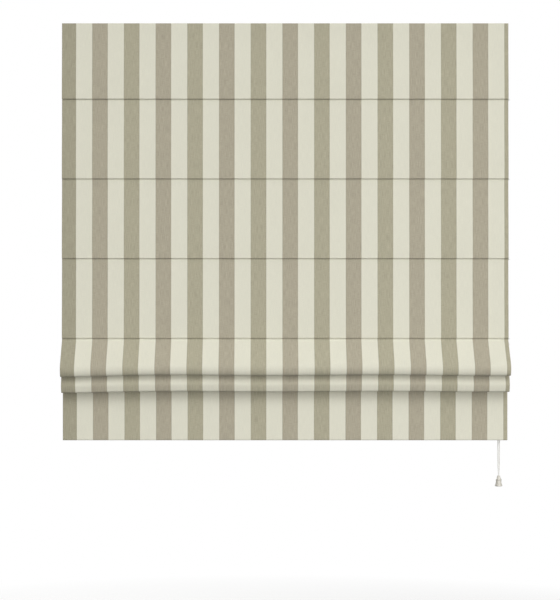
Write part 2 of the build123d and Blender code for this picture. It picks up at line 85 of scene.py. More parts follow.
camera_data = bpy.data.cameras.new("camera")
camera_data.sensor_width = 36.0
camera_data.lens = camera_data.sensor_width * camera_distance / (image_height * pixel)
camera_data.shift_x = (image_width / 2 - axis_pixel) / image_height
camera = bpy.data.objects.new("camera", camera_data)
camera.location = ((axis_pixel - middle_pixel) * pixel, cloth_y - half_cloth - camera_distance,
                   (top_edge_pixel - image_height / 2) * pixel)
camera.rotation_euler = (pi / 2, 0, 0)
bpy.context.scene.collection.objects.link(camera)
bpy.context.scene.camera = camera


def new_object(name, vertices, faces, uv, material, sharp=50):
    """A piece from arrays of vertices and faces. uv gives each vertex's place on its pattern."""
    mesh = bpy.data.meshes.new(name)
    mesh.from_pydata(np.asarray(vertices).tolist(), [], [list(face) for face in faces])
    corner = np.empty(len(mesh.loops), np.int32)
    mesh.loops.foreach_get("vertex_index", corner)
    layer = mesh.uv_layers.new(name="UVMap")
    layer.data.foreach_set("uv", np.asarray(uv, np.float32)[corner].ravel())
    mesh.shade_smooth()
    mesh.set_sharp_from_angle(angle=sharp * pi / 180)
    mesh.materials.append(material)
    made = bpy.data.objects.new(name, mesh)
    bpy.context.scene.collection.objects.link(made)
    return made


def smooth(t):
    """3t² - 2t³ between 0 and 1."""
    t = np.clip(t, 0, 1)
    return t * t * (3 - 2 * t)


# Lines of the cloth, as (y, z) points

arc_step = 0.16             # radians between points on a corner's arc


def rounded(corners, step=0.006):
    """Straight runs between corners (y, z, radius). At each corner the arc of that radius which touches
    both runs, and on the runs points about a step apart."""
    points = np.array([corner[:2] for corner in corners])
    line = [points[:1]]
    for before, here, after, corner in zip(points, points[1:], points[2:], corners[1:]):
        to_before = (before - here) / np.linalg.norm(before - here)
        to_after = (after - here) / np.linalg.norm(after - here)
        half_angle = np.arccos(np.clip(to_before @ to_after, -1, 1)) / 2
        turn = pi - 2 * half_angle
        reach = corner[2] / np.tan(half_angle)
        bisector = (to_before + to_after) / np.linalg.norm(to_before + to_after)
        centre = here + bisector * corner[2] / np.sin(half_angle)
        t = np.linspace(0, 1, max(3, int(np.ceil(turn / arc_step))))[:, None]
        first, last = here + to_before * reach - centre, here + to_after * reach - centre
        line.append(centre + (np.sin((1 - t) * turn) * first + np.sin(t * turn) * last) / np.sin(turn))
    line.append(points[-1:])
    return subdivided(np.concatenate(line), step)


def subdivided(line, step):
    """The same line with extra points, so that none are further apart than a step."""
    spans = np.linalg.norm(np.diff(line, axis=0), axis=1)
    counts = np.maximum(1, np.ceil(spans / step)).astype(int)
    places = np.concatenate([n + np.arange(count) / count for n, count in enumerate(counts)] + [[len(spans)]])
    index = np.arange(len(line))
    return np.stack([np.interp(places, index, line[:, axis]) for axis in (0, 1)], axis=1)


def arc(centre, radius, start, end, count):
    """Points on a circle from angle start to angle end, in degrees."""
    angle = np.radians(np.linspace(start, end, count))
    return np.stack([centre[0] + radius * np.cos(angle), centre[1] + radius * np.sin(angle)], axis=1)


def ahead(distance, z, radius=0.0):
    """A corner this far in front of the flat panels."""
    return (cloth_y - distance, z, radius)


def distances(line):
    """How far along the line each point is."""
    return np.concatenate([[0], np.cumsum(np.linalg.norm(np.diff(line, axis=0), axis=1))])


# Node helpers


def add(tree, kind, inputs=(), **settings):
    """A node of a kind. inputs pairs an input's name or number with a socket to link or a value."""
    made = tree.nodes.new("ShaderNode" + kind)
    for name, value in settings.items():
        setattr(made, name, value)
    for name, value in dict(inputs).items():
        if isinstance(value, bpy.types.NodeSocket):
            tree.links.new(value, made.inputs[name])
        else:
            made.inputs[name].default_value = value
    return made


def maths(tree, operation, *values, clamp=False):
    """A sum, product or other operation on values."""
    return add(tree, "Math", enumerate(values), operation=operation, use_clamp=clamp).outputs[0]


def mix(tree, factor, first, second):
    """A colour between two, by factor."""
    return add(tree, "Mix", {0: factor, 6: first, 7: second}, data_type="RGBA").outputs[2]


def toned(tree, colour, tone):
    """A colour times a number."""
    return add(tree, "VectorMath", {0: colour, "Scale": tone}, operation="SCALE").outputs[0]


def speckle(tree, place, across, along, up=1.0, detail=2.0):
    """Noise from 0 to 1 with that many grains to the metre in X, Y and Z."""
    scaled = add(tree, "VectorMath", {0: place, 1: (across, along, up)}, operation="MULTIPLY").outputs[0]
    return add(tree, "TexNoise", {"Vector": scaled, "Scale": 1.0, "Detail": detail}).outputs[0]


def effect(name, inputs, outputs):
    """A node group. inputs pairs names with (kind, value) and outputs names with kinds. Gives its tree,
    its inputs' sockets, and the sockets that take its outputs."""
    tree = bpy.data.node_groups.new(name, "ShaderNodeTree")
    for title, (kind, value) in inputs.items():
        socket = tree.interface.new_socket(title, in_out="INPUT", socket_type="NodeSocket" + kind)
        if value is not None:
            socket.default_value = value
    for title, kind in outputs.items():
        tree.interface.new_socket(title, in_out="OUTPUT", socket_type="NodeSocket" + kind)
    return tree, tree.nodes.new("NodeGroupInput").outputs, tree.nodes.new("NodeGroupOutput").inputs


def linear(red, green, blue):
    """A colour in display values from 0 to 255, as the linear values that a shader takes."""
    shade = np.array([red, green, blue]) / 255
    return (*np.where(shade <= 0.04045, shade / 12.92, ((shade + 0.055) / 1.055) ** 2.4), 1.0)


def finish_of(name, group, inputs, coordinates="Object", bump=0.0001, **sockets):
    """A material whose colour, roughness and relief come from an effect. bump is the relief's height in
    metres, and sockets sets the shader's own values."""
    made = bpy.data.materials.new(name)
    made.use_nodes = True
    tree = made.node_tree
    shader = tree.nodes["Principled BSDF"]
    place = add(tree, "TexCoord").outputs[coordinates]
    given = add(tree, "Group", {"Place": place, **inputs}, node_tree=group).outputs
    tree.links.new(given["Colour"], shader.inputs["Base Color"])
    tree.links.new(given["Roughness"], shader.inputs["Roughness"])
    relief = add(tree, "Bump", {"Height": given["Height"], "Distance": bump, "Strength": 0.7})
    tree.links.new(relief.outputs[0], shader.inputs["Normal"])
    for title, value in sockets.items():
        shader.inputs[title.replace("_", " ")].default_value = value
    return made


# Effects


stripe_pitch = 0.0923
cream_width = 0.0470
first_cream = 0.0411        # from the left edge to the first cream stripe
warp_pitch = 0.00075
weft_pitch = 0.0008
stripe_blur = 0.0007        # how wide the change from cream to beige is
rim_width = 0.0028          # of the darker rim of a beige stripe
rim_darker = 0.075          # by this share
# painted shade: the stripe at the left edge is drawn darker by this share, as shade falling there
left_stripe_painted_shade = 0.1
cream_mottle = 0.13         # how much the warp's streaks change the cream's tone
more_in_beige = 0.44        # and how much more they change the beige's
weft_mottle = 0.7           # the weft's streaks, as a share of the warp's
cloud_mottle = 0.035
hem_stitch_inset = 0.0200   # the side hems' stitches, from the edges
stitch_pitch = 0.0032
stitch_share = 0.72         # of the pitch
stitch_half_width = 0.0003


def striped_weave():
    """Cream and beige stripes along the cloth. k counts pitches from the first cream stripe, and the
    distance to the nearest cream stripe's edge is |k - nearest middle| times the pitch, less half its
    width. A beige stripe has a darker rim, and the one at the left edge is a tenth darker, painted
    shade. Threads are |sin| waves across and along, one over the other in turn, and the colour is
    darker in the hollows between them, painted shade. The side hems' stitches are raised dashes
    at one distance from the edges."""
    tree, given, result = effect(
        "striped weave",
        {"Place": ("Vector", None), "Cream": ("Color", linear(219, 217, 200)),
         "Rose beige": ("Color", linear(171, 164, 145)), "Olive beige": ("Color", linear(171, 166, 144))},
        {"Colour": "Color", "Roughness": "Float", "Height": "Float"})
    apart = add(tree, "SeparateXYZ", {0: given["Place"]}).outputs
    across, along = apart[0], apart[1]
    k = maths(tree, "DIVIDE", maths(tree, "SUBTRACT", across, first_cream), stripe_pitch)
    from_middle = maths(tree, "SUBTRACT", k, cream_width / stripe_pitch / 2)
    nearest = maths(tree, "MULTIPLY", maths(tree, "PINGPONG", from_middle, 0.5), stripe_pitch)
    beyond = maths(tree, "SUBTRACT", nearest, cream_width / 2)
    beige = maths(tree, "MULTIPLY_ADD", beyond, 1 / stripe_blur, 0.5, clamp=True)
    odd = maths(tree, "MULTIPLY", maths(tree, "FRACT", maths(tree, "MULTIPLY",
                maths(tree, "FLOOR", k), 0.5)), 2.0)
    warm = mix(tree, odd, given["Rose beige"], given["Olive beige"])
    rim = maths(tree, "SUBTRACT", 1.0, maths(tree, "DIVIDE", beyond, rim_width), clamp=True)
    rim_shade = maths(tree, "MULTIPLY_ADD", maths(tree, "MULTIPLY", rim, beige), -rim_darker, 1.0)
    # painted shade on the stripe at the left edge, joined with the beige stripes' darker rim
    first = maths(tree, "LESS_THAN", across, first_cream)
    rim_and_left_painted_shade = maths(tree, "MULTIPLY", rim_shade,
                         maths(tree, "MULTIPLY_ADD", first, -left_stripe_painted_shade, 1.0))
    colour = mix(tree, beige, given["Cream"], warm)

    warp_streak = speckle(tree, given["Place"], 800.0, 38.0)
    weft_streak = speckle(tree, given["Place"], 70.0, 1250.0)
    cloud = speckle(tree, given["Place"], 9.0, 6.0, detail=3.0)
    mottle = maths(tree, "MULTIPLY_ADD", beige, more_in_beige, cream_mottle)
    warp_shade = maths(tree, "MULTIPLY", maths(tree, "SUBTRACT", warp_streak, 0.5), mottle)
    weft_shade = maths(tree, "MULTIPLY", maths(tree, "SUBTRACT", weft_streak, 0.5),
                       maths(tree, "MULTIPLY", mottle, weft_mottle))
    cloud_shade = maths(tree, "MULTIPLY", maths(tree, "SUBTRACT", cloud, 0.5), cloud_mottle)

    warp = maths(tree, "SINE", maths(tree, "MULTIPLY", across, pi / warp_pitch))
    weft = maths(tree, "SINE", maths(tree, "MULTIPLY", along, pi / weft_pitch))
    over = maths(tree, "GREATER_THAN", maths(tree, "MULTIPLY", warp, weft), 0.0)
    thread = mix(tree, over, maths(tree, "ABSOLUTE", warp), maths(tree, "ABSOLUTE", weft))
    rib = maths(tree, "SINE", maths(tree, "MULTIPLY", across, 2 * pi / (4 * warp_pitch)))
    thread_value = add(tree, "RGBToBW", {0: thread}).outputs[0]
    # painted shade: the colour is darker in the hollows between threads and lighter on their crowns
    thread_painted_shade = maths(tree, "MULTIPLY_ADD", thread_value, 0.07, -0.045)
    shade = maths(tree, "ADD", maths(tree, "ADD", warp_shade, weft_shade),
                  maths(tree, "ADD", cloud_shade, maths(tree, "MULTIPLY_ADD", rib, 0.006, thread_painted_shade)))
    tone = maths(tree, "MULTIPLY", maths(tree, "ADD", shade, 1.0), rim_and_left_painted_shade)
    tree.links.new(toned(tree, colour, tone), result["Colour"])
    tree.links.new(maths(tree, "MULTIPLY_ADD", weft_streak, 0.1, 0.82), result["Roughness"])

    height = maths(tree, "ADD", maths(tree, "MULTIPLY", thread_value, 0.6),
                   maths(tree, "ADD", maths(tree, "MULTIPLY", warp_streak, 0.5),
                         maths(tree, "MULTIPLY", weft_streak, 0.5)))
    from_edge = maths(tree, "SUBTRACT", half_width, maths(tree, "ABSOLUTE",
                      maths(tree, "SUBTRACT", across, half_width)))
    off_row = maths(tree, "ABSOLUTE", maths(tree, "SUBTRACT", from_edge, hem_stitch_inset))
    dash = maths(tree, "LESS_THAN", maths(tree, "FRACT", maths(tree, "DIVIDE", along, stitch_pitch)),
                 stitch_share)
    stitch = maths(tree, "MULTIPLY", maths(tree, "LESS_THAN", off_row, stitch_half_width), dash)
    tree.links.new(maths(tree, "ADD", height, maths(tree, "MULTIPLY", stitch, 1.5)), result["Height"])
    return tree


def grained(name, across, along, up):
    """A plain colour with a stretched grain, which also moves the roughness and the relief."""
    tree, given, result = effect(
        name,
        {"Place": ("Vector", None), "Colour": ("Color", None), "Shade": ("Float", 0.05),
         "Roughness": ("Float", 0.4), "Roughness spread": ("Float", 0.1)},
        {"Colour": "Color", "Roughness": "Float", "Height": "Float"})
    fine = speckle(tree, given["Place"], across, along, up, detail=3.0)
    broad = speckle(tree, given["Place"], 25.0, 25.0, 25.0, detail=2.0)
    both = maths(tree, "SUBTRACT", maths(tree, "ADD", fine, broad), 1.0)
    tone = maths(tree, "MULTIPLY_ADD", both, given["Shade"], 1.0)
    tree.links.new(toned(tree, given["Colour"], tone), result["Colour"])
    tree.links.new(maths(tree, "MULTIPLY_ADD", both, given["Roughness spread"], given["Roughness"]),
                   result["Roughness"])
    tree.links.new(fine, result["Height"])
    return tree


braid_waves = 4             # round the cord, with two strands to a wave
braid_wave_length = 0.0032  # along the cord


def braid():
    """Strands that cross on a round cord: two sets of waves, leaning one way and the other round it. The
    colour is darker in the grooves between strands, painted shade.
    """
    tree, given, result = effect(
        "braid", {"Place": ("Vector", None), "Colour": ("Color", None)},
        {"Colour": "Color", "Roughness": "Float", "Height": "Float"})
    apart = add(tree, "SeparateXYZ", {0: given["Place"]}).outputs
    round_it = maths(tree, "MULTIPLY", apart[0], 2 * pi * braid_waves)
    along = maths(tree, "MULTIPLY", apart[1], 2 * pi / braid_wave_length)
    left = maths(tree, "ABSOLUTE", maths(tree, "SINE", maths(tree, "ADD", round_it, along)))
    right = maths(tree, "ABSOLUTE", maths(tree, "SINE", maths(tree, "SUBTRACT", round_it, along)))
    strand = maths(tree, "MAXIMUM", left, right)
    # painted shade: darker in the grooves between strands, lighter on their crowns
    tone = maths(tree, "MULTIPLY_ADD", strand, 0.25, 0.75)
    tree.links.new(toned(tree, given["Colour"], tone), result["Colour"])
    tree.links.new(maths(tree, "MULTIPLY_ADD", strand, -0.1, 0.75), result["Roughness"])
    tree.links.new(strand, result["Height"])
    return tree


def napped():
    """Tape with small loops or hooks: cells about 1 mm wide, with a finer fuzz over them. The colour is
    darker low between the loops, painted shade.
    """
    tree, given, result = effect(
        "napped tape", {"Place": ("Vector", None), "Colour": ("Color", None), "Cells": ("Float", 900.0)},
        {"Colour": "Color", "Roughness": "Float", "Height": "Float"})
    cell = add(tree, "TexVoronoi", {"Vector": given["Place"], "Scale": given["Cells"]}).outputs["Distance"]
    fuzz = speckle(tree, given["Place"], 1500.0, 1500.0, 1500.0)
    height = maths(tree, "MULTIPLY_ADD", fuzz, 0.4, maths(tree, "SUBTRACT", 1.0, cell))
    # painted shade: darker low between the loops, lighter on their tops
    tone = maths(tree, "MULTIPLY_ADD", height, 0.2, 0.78)
    tree.links.new(toned(tree, given["Colour"], tone), result["Colour"])
    tree.links.new(maths(tree, "MULTIPLY_ADD", fuzz, 0.1, 0.85), result["Roughness"])
    tree.links.new(height, result["Height"])
    return tree


# Materials

weave_group = striped_weave()
moulded_group = grained("moulded grain", 700.0, 700.0, 700.0)
drawn_group = grained("drawn grain", 12.0, 2600.0, 2600.0)
braid_group = braid()
tape_group = napped()

cloth = finish_of("cloth", weave_group, {}, "UV", bump=0.00018, Sheen_Weight=0.12, Sheen_Roughness=0.5,
                  Specular_IOR_Level=0.2)
powder_coat = finish_of("powder_coat", moulded_group, {"Colour": linear(232, 232, 228), "Shade": 0.02,
                        "Roughness": 0.42}, bump=0.00003, Coat_Weight=0.15)
bar_metal = finish_of("bar_metal", drawn_group, {"Colour": linear(196, 198, 200), "Shade": 0.12,
                      "Roughness": 0.36}, bump=0.00002, Metallic=1.0)
zinc = finish_of("zinc", drawn_group, {"Colour": linear(188, 190, 194), "Shade": 0.1, "Roughness": 0.34},
                 bump=0.00003, Metallic=1.0)
pin_steel = finish_of("pin_steel", drawn_group, {"Colour": linear(176, 178, 180), "Shade": 0.08,
                      "Roughness": 0.25}, bump=0.00001, Metallic=1.0)
lock_brass = finish_of("lock_brass", drawn_group, {"Colour": linear(205, 170, 92), "Shade": 0.14,
                       "Roughness": 0.3}, bump=0.00002, Metallic=1.0)
white_plastic = finish_of("white_plastic", moulded_group, {"Colour": linear(235, 235, 231), "Shade": 0.03,
                          "Roughness": 0.45}, bump=0.00002)
roller_plastic = finish_of("roller_plastic", moulded_group, {"Colour": linear(228, 228, 222), "Shade": 0.04,
                           "Roughness": 0.3}, bump=0.00001)
clear_plastic = finish_of("clear_plastic", moulded_group, {"Colour": linear(224, 226, 224), "Shade": 0.03,
                          "Roughness": 0.22}, bump=0.00001, Transmission_Weight=0.35, IOR=1.49)
rod_glass = finish_of("rod_glass", drawn_group, {"Colour": linear(221, 219, 205), "Shade": 0.06,
                      "Roughness": 0.4}, bump=0.00002)
bell_plastic = finish_of("bell_plastic", moulded_group, {"Colour": linear(205, 201, 190), "Shade": 0.03,
                         "Roughness": 0.28}, bump=0.00001, Coat_Weight=0.2)
cord_yarn = finish_of("cord_yarn", braid_group, {"Colour": linear(232, 231, 224)}, "UV", bump=0.00012)
hook_finish = finish_of("hook_tape", tape_group, {"Colour": linear(228, 228, 222), "Cells": 900.0},
                        bump=0.0004)
loop_finish = finish_of("loop_tape", tape_group, {"Colour": linear(226, 225, 216), "Cells": 1500.0},
                        bump=0.0003)

for material, nodes in {
    powder_coat: ["head_rail"],
    bar_metal: ["hem_bar"],
    zinc: ["bracket_left", "bracket_middle", "bracket_right"],
    pin_steel: ["lock_wheel_pin"] + [f"guide_pin_{n}" for n in range(1, 5)],
    lock_brass: ["lock_roller"],
    white_plastic: ["rail_end_cap_left", "rail_end_cap_right", "cord_lock_case"]
    + [f"cord_guide_{n}" for n in range(1, 5)] + [f"rod_cap_{n}" for n in range(1, 7)],
    roller_plastic: ["lock_wheel"] + [f"guide_roller_{n}" for n in range(1, 5)],
    clear_plastic: [f"rings_{n}" for n in range(1, 7)],
    rod_glass: [f"rod_{n}" for n in range(1, 7)],
    bell_plastic: ["cord_bell", "cord_orbs"],
    hook_finish: ["hook_tape"],
    loop_finish: ["loop_tape"],
}.items():
    for node in nodes:
        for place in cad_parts[node].material_slots:
            place.material = material


# Cloth

edge_round = half_cloth + side_hem_thickness / 2
edge_columns = half_width - edge_round + edge_round * np.sin(np.radians([90, 68, 45, 22, 0]))
hem_columns = half_width - np.array([0.004, 0.009, 0.014, 0.018, side_hem_width - 0.0005,
                                     side_hem_width, side_hem_width + side_hem_ramp])
inner_columns = np.linspace(half_width - side_hem_width - 0.006, 0, 70)
half_columns = np.concatenate([edge_columns, hem_columns, inner_columns])
columns = np.concatenate([-half_columns, half_columns[-2::-1]])


def still(x, z):
    """No sway."""
    return 0 * x, 0 * x


def cloth_strip(name, line, start, sway=still):
    """A strip of cloth as wide as the blind, a closed shell. Point (x, s) of its face is the line's
    point at distance s, moved half the cloth's thickness along the line's normal, and of its back the
    same the other way, with the side hem's thickness added within the hem's width. Face and back come
    together in a half circle at the side edges. start is how far the strip begins from the cloth's top,
    and sway moves the points in Y and Z by x and z. Gives the strip and the next one's start."""
    tangent = np.gradient(line, axis=0)
    tangent /= np.linalg.norm(tangent, axis=1)[:, None]
    normal = np.stack([tangent[:, 1], -tangent[:, 0]], axis=1)
    from_edge = half_width - np.abs(columns)
    round_part = np.sqrt(1 - (1 - np.clip(from_edge / edge_round, 0, 1)) ** 2)
    back = half_cloth + side_hem_thickness * smooth((side_hem_width - from_edge) / side_hem_ramp)
    centre = (half_cloth - back) / 2
    face_offset = centre + (half_cloth - centre) * round_part
    back_offset = centre - (back + centre) * round_part
    offset = np.concatenate([face_offset, back_offset[-2:0:-1]])
    x = np.concatenate([columns, columns[-2:0:-1]])
    ring, rows = len(x), len(line)
    y = line[:, 0][:, None] + normal[:, 0][:, None] * offset
    z = line[:, 1][:, None] + normal[:, 1][:, None] * offset
    x = np.broadcast_to(x, y.shape)
    move_y, move_z = sway(x, z)
    vertices = np.stack([x, y + move_y, z + move_z], axis=2).reshape(-1, 3)
    row, column = np.meshgrid(np.arange(rows - 1), np.arange(ring), indexing="ij")
    following = (column + 1) % ring
    walls = np.stack([(row + 1) * ring + column, (row + 1) * ring + following,
                      row * ring + following, row * ring + column], axis=2).reshape(-1, 4)
    face = np.arange(len(columns) - 1)
    behind, behind_next = (ring - face) % ring, ring - face - 1
    top = np.stack([face + 1, behind_next, behind, face], axis=1)
    bottom = np.stack([behind, behind_next, face + 1, face], axis=1) + (rows - 1) * ring
    ends = [tuple(dict.fromkeys(corners)) for corners in np.concatenate([top, bottom]).tolist()]
    along = start + np.broadcast_to(distances(line)[:, None], y.shape)
    uv = np.stack([x + half_width, along], axis=2).reshape(-1, 2)
    made = new_object(name, vertices, walls.tolist() + ends, uv, cloth)
    length = float(distances(line)[-1])
    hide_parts("shade_fabric")
    return made, start + length


upper_lip_radius = 0.0013   # of the rolled edge above a seam
lower_lip_drop = 0.0028     # of the edge below it, which leans away from the seam
lip_proud = 0.0042          # the edge above a seam stands this far in front of the cloth below it
lip_reach = 0.005           # how far above its rod the strip with a seam begins
under_reach = 0.0040        # and how far below it the strip ends
neck_drop = 0.0072          # from a rod to the foot of its hanging pocket
parting_drop = 0.0042       # from a rod to where the layers of its hanging pocket part
pocket_radius = 0.00315     # of the pocket's middle line
pocket_shift = 0.0001       # the pocket hangs a little behind its rod
neck_turn_y = 0.00045       # where the stitched layers part round the rod
seam_step = 0.002
panel_step = 0.005


def flat_seam(rod):
    """Line of the cloth at a rod behind a flat panel. It rolls back through a quarter circle, runs back
    along the seam, parts from the other layer in a quarter circle, goes round the rod and comes out
    again below, and further back, in a quarter of an ellipse."""
    y, z = rod
    apart = half_cloth + upper_lip_radius
    turn_z = 2 * half_cloth
    opening = np.degrees(np.arcsin(turn_z / pocket_radius)) + 4
    return subdivided(np.concatenate([
        [(cloth_y - lip_proud, z + lip_reach), (cloth_y - lip_proud, z + apart)],
        arc((cloth_y - lip_proud + upper_lip_radius, z + apart), upper_lip_radius, 180, 270, 7)[1:],
        arc((cloth_y + neck_turn_y, z + turn_z), half_cloth, 270, 360, 5),
        arc((y + pocket_shift, z), pocket_radius, 180 - opening, opening - 180, 26),
        arc((cloth_y + neck_turn_y, z - turn_z), half_cloth, 360, 450, 5),
        arc((0, 0), 1.0, 90, 180, 8)[1:] * (neck_turn_y, lower_lip_drop)
        + (cloth_y + neck_turn_y, z - half_cloth - lower_lip_drop),
        [(cloth_y, z - under_reach)],
    ]), seam_step)


def hung_seam(rod):
    """Line of the cloth at a rod whose pocket hangs between two layers: up, round the rod and down."""
    y, z = rod
    half = np.concatenate([[(y - half_cloth, z - neck_drop), (y - half_cloth, z - parting_drop)],
                           arc((y, z), pocket_radius, 250, 90, 16)])
    line = np.concatenate([half, (half * (-1, 1) + (2 * y, 0))[-2::-1]])
    return subdivided(line, seam_step)


def panel_line(top_z, bottom_z):
    """A flat panel, which comes forward from its top to the proud edge at its foot."""
    t = np.linspace(0, 1, int((top_z - bottom_z) / panel_step))
    return np.stack([cloth_y - lip_proud * smooth(t), top_z + (bottom_z - top_z) * t], axis=1)


ripple_height = 0.0003


def ripple(top_z, bottom_z):
    """Sway of a flat panel: shallow waves, nothing at its seams."""
    def sway(x, z):
        t = np.clip((top_z - z) / (top_z - bottom_z), 0, 1)
        weight = np.sin(pi * t) ** 2
        wave = np.sin(5.3 * x + 9 * z) + 0.6 * np.sin(11.7 * x - 6 * z + 1.3)
        return ripple_height * wave * weight, 0 * x
    return sway


fold_wave_length = 0.626
left_drop_reach = 0.17


def fold_sway(neck_z, bottom_z, lift, left_drop, phase):
    """Sway of a fold: its lowest edge waves along the blind, by lift, and hangs lower at the left, by
    left_drop."""
    def sway(x, z):
        weight = smooth((neck_z - z) / (neck_z - bottom_z))
        wave = np.cos(2 * pi * (x + phase) / fold_wave_length)
        drop = left_drop * np.exp(-(((x + half_width) / left_drop_reach) ** 2))
        forward = 0.0014 * np.sin(7.1 * x + 0.8) + 0.0008 * np.sin(17.0 * x)
        return forward * weight, -(lift * wave + drop) * weight
    return sway


upper_fold_drop = 0.106     # from the lowest rod behind a flat panel to the upper fold's foot
lower_fold_drop = 0.154
upper_fold_foot = 0.0325    # how far in front of the panels the upper fold's front and back meet
lower_fold_foot = 0.0125
upper_bottom_z = rods[3][1] - upper_fold_drop
lower_bottom_z = rods[3][1] - lower_fold_drop
seam_top_z = [rod[1] + lip_reach for rod in rods[:4]]
seam_bottom_z = [rod[1] - under_reach for rod in rods[:4]]
necks = [rod[1] - neck_drop for rod in rods]

upper_sway = fold_sway(seam_bottom_z[3], upper_bottom_z, 0.0012, 0.0040, 0.038)
lower_sway = fold_sway(necks[4], lower_bottom_z, 0.0008, 0.0034, 0.02)

made, start = cloth_strip("cloth_top", rounded([ahead(0, 0), ahead(0, rail_bottom_z)]), 0.0)
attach(made, "root")
upper_z = rail_bottom_z
for n in range(4):
    made, start = cloth_strip(f"cloth_panel_{n + 1}", panel_line(upper_z, seam_top_z[n]), start,
                              ripple(upper_z, seam_top_z[n]))
    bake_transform(made)
    made, start = cloth_strip(f"cloth_seam_{n + 1}", flat_seam(rods[n]), start)
    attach(made, bodies[n + 1])
    upper_z = seam_bottom_z[n]

fold_front = rounded([ahead(0, seam_bottom_z[3]), ahead(0, rods[3][1] - 0.006, 0.014),
                      ahead(0.050, upper_bottom_z + 0.022, 0.030), ahead(0.039, upper_bottom_z, 0.009),
                      ahead(upper_fold_foot, upper_bottom_z)])
made, start = cloth_strip("upper_fold_front", fold_front, start, upper_sway)
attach(made, bodies[4])
fold_back = rounded([ahead(upper_fold_foot, upper_bottom_z), ahead(0.026, upper_bottom_z, 0.006),
                     ahead(0.0246, upper_bottom_z + 0.042, 0.040),
                     (rods[4][0] - half_cloth, necks[4] - 0.008, 0.016), (rods[4][0] - half_cloth, necks[4])])
made, start = cloth_strip("upper_fold_back", fold_back, start, upper_sway)
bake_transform(made)
made, start = cloth_strip("cloth_seam_5", hung_seam(rods[4]), start)
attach(made, bodies[5])

fold_front = rounded([(rods[4][0] + half_cloth, necks[4]), (rods[4][0] + half_cloth, necks[4] - 0.010, 0.016),
                      ahead(0.0120, upper_bottom_z + 0.012, 0.030),
                      ahead(0.0240, lower_bottom_z + 0.021, 0.020),
                      ahead(0.0175, lower_bottom_z, 0.0055), ahead(lower_fold_foot, lower_bottom_z)])
made, start = cloth_strip("lower_fold_front", fold_front, start, lower_sway)
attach(made, bodies[5])
fold_back = rounded([ahead(lower_fold_foot, lower_bottom_z), ahead(0.0075, lower_bottom_z, 0.005),
                     ahead(0.004, lower_bottom_z + 0.024, 0.040),
                     (rods[5][0] - half_cloth, necks[5] - 0.010, 0.016), (rods[5][0] - half_cloth, necks[5])])
made, start = cloth_strip("lower_fold_back", fold_back, start, lower_sway)
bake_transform(made)
made, start = cloth_strip("cloth_seam_6", hung_seam(rods[5]), start)
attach(made, bodies[6])

hem_pocket = 0.0046         # from the skirt's front layer to its back one, round the hem bar
hem_radius = 0.0022
hem_bar_gap = 0.0003
hem_top_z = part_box("hem_bar")[1][2] + hem_bar_gap
skirt = rounded([(skirt_y, necks[5]), (skirt_y, hem_z + half_cloth, hem_radius),
                 (skirt_y + hem_pocket, hem_z + half_cloth, hem_radius),
                 (skirt_y + hem_pocket, hem_top_z, 0.002),
                 (skirt_y + 2 * half_cloth, hem_top_z + 0.005)])
made, start = cloth_strip("cloth_skirt", skirt, start)
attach(made, bodies[6])


# Cords


def spline_points(route):
    """Points along the smooth curve that a route's points control."""
    curve = bpy.data.curves.new("route", "CURVE")
    curve.dimensions = "3D"
    curve.resolution_u = 16
    spline = curve.splines.new("NURBS")
    spline.points.add(len(route) - 1)
    spline.points.foreach_set("co", np.array([(*point, 1.0) for point in route]).ravel())
    spline.order_u = 3
    spline.use_endpoint_u = True
    holder = bpy.data.objects.new("route", curve)
    mesh = bpy.data.meshes.new_from_object(holder)
    places = np.empty(3 * len(mesh.vertices))
    mesh.vertices.foreach_get("co", places)
    bpy.data.objects.remove(holder)
    bpy.data.curves.remove(curve)
    bpy.data.meshes.remove(mesh)
    return places.reshape(-1, 3)


def tubes(name, paths, radius, material, sides=10):
    """Closed round tubes. Point (s, angle) of one is its path's point plus the radius times
    cos(angle) of one side vector and sin(angle) of the other, with a pole at each end."""
    vertices, faces, uv, first = [], [], [], 0
    angle = 2 * pi * np.arange(sides) / sides
    for path in paths:
        tangent = np.gradient(path, axis=0)
        tangent /= np.linalg.norm(tangent, axis=1)[:, None]
        side = np.cross(tangent, (0, 1, 0))
        side /= np.linalg.norm(side, axis=1)[:, None]
        other = np.cross(side, tangent)
        ring = path[:, None] + radius * (np.cos(angle)[None, :, None] * side[:, None]
                                         + np.sin(angle)[None, :, None] * other[:, None])
        count = len(path)
        row, column = np.meshgrid(np.arange(count - 1), np.arange(sides), indexing="ij")
        following = (column + 1) % sides
        quads = np.stack([row * sides + column, (row + 1) * sides + column,
                          (row + 1) * sides + following, row * sides + following], axis=2).reshape(-1, 4)
        turn = np.arange(sides)
        after = (turn + 1) % sides
        foot, tip = count * sides, count * sides + 1
        last = (count - 1) * sides
        caps = np.concatenate([np.stack([turn, after, np.full(sides, foot)], axis=1),
                               np.stack([after + last, turn + last, np.full(sides, tip)], axis=1)])
        faces += (quads + first).tolist() + (caps + first).tolist()
        vertices.append(np.concatenate([ring.reshape(-1, 3), path[:1], path[-1:]]))
        along = distances(path)
        grid = np.stack(np.broadcast_arrays(np.arange(sides)[None, :] / sides, along[:, None]), axis=2)
        uv.append(np.concatenate([grid.reshape(-1, 2), [[0, 0], [0, along[-1]]]]))
        first += count * sides + 2
    return new_object(name, np.concatenate(vertices), faces, np.concatenate(uv), material, sharp=60)


cord_radius = 0.0007
cord_x = (-0.570, -0.190, 0.190, 0.570)
lane_pitch = 0.0018
pull_x = 0.627
bend_radius = 0.00535       # of a cord's middle line on a roller
near = 0.0084               # six cord diameters from a roller or ring
ring_y = [middle(f"rings_{n}")[1] for n in range(1, 7)]
roller_z = middle("guide_roller_1")[2]
cord_top_z = roller_z + bend_radius
cord_join_z = -0.046
orb_low, orb_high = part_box("cord_orbs")
orb_seat_z = (orb_low[2] + orb_high[2]) / 2
lanes = [ring_y[0] + lane_pitch * (n - 1.5) for n in range(4)]
bell_top_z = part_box("cord_bell")[1][2]
bell_y = middle("cord_bell")[1]

